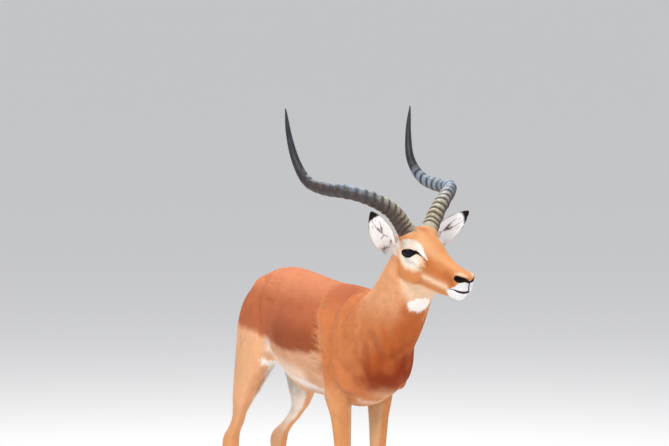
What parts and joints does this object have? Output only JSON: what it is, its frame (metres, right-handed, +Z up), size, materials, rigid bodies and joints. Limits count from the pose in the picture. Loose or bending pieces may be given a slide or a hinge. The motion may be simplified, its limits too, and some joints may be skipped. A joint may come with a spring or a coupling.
{
  "type": "impala antelope",
  "caption": "Life-size still model of an impala ram standing alert with its head turned a little left: lyre horns, cupped ears, slim legs and cloven hooves.",
  "frame": {"origin": "middle of the bounding box in plan, at the level of the soles of the hooves", "axes": "+X the way the body faces, +Y the animal's left, +Z up"},
  "size_m": [1.4289, 0.479, 1.4097],
  "materials": {
    "coat_rufous": "short close fur, rufous",
    "coat_fawn": "short close fur, fawn",
    "ear_pale": "thin fur, pale inside",
    "horn_grey": "ridged keratin, half dull",
    "eye_dark": "wet gloss",
    "hoof_black": "smooth keratin"
  },
  "bodies": {
    "root": {"trunk": "coat_rufous", "neck": "coat_rufous", "head": "coat_rufous", "tail": "coat_rufous", "foreleg_right": "coat_fawn", "foreleg_left": "coat_fawn", "hindleg_right": "coat_fawn", "hindleg_left": "coat_fawn", "ear_right": "ear_pale", "ear_left": "ear_pale", "horn_right": "horn_grey", "horn_left": "horn_grey", "eye_right": "eye_dark", "eye_left": "eye_dark", "hoof_fore_right_inner": "hoof_black", "hoof_fore_right_outer": "hoof_black", "hoof_fore_left_inner": "hoof_black", "hoof_fore_left_outer": "hoof_black", "hoof_hind_right_inner": "hoof_black", "hoof_hind_right_outer": "hoof_black", "hoof_hind_left_inner": "hoof_black", "hoof_hind_left_outer": "hoof_black"}
  },
  "joints": []
}
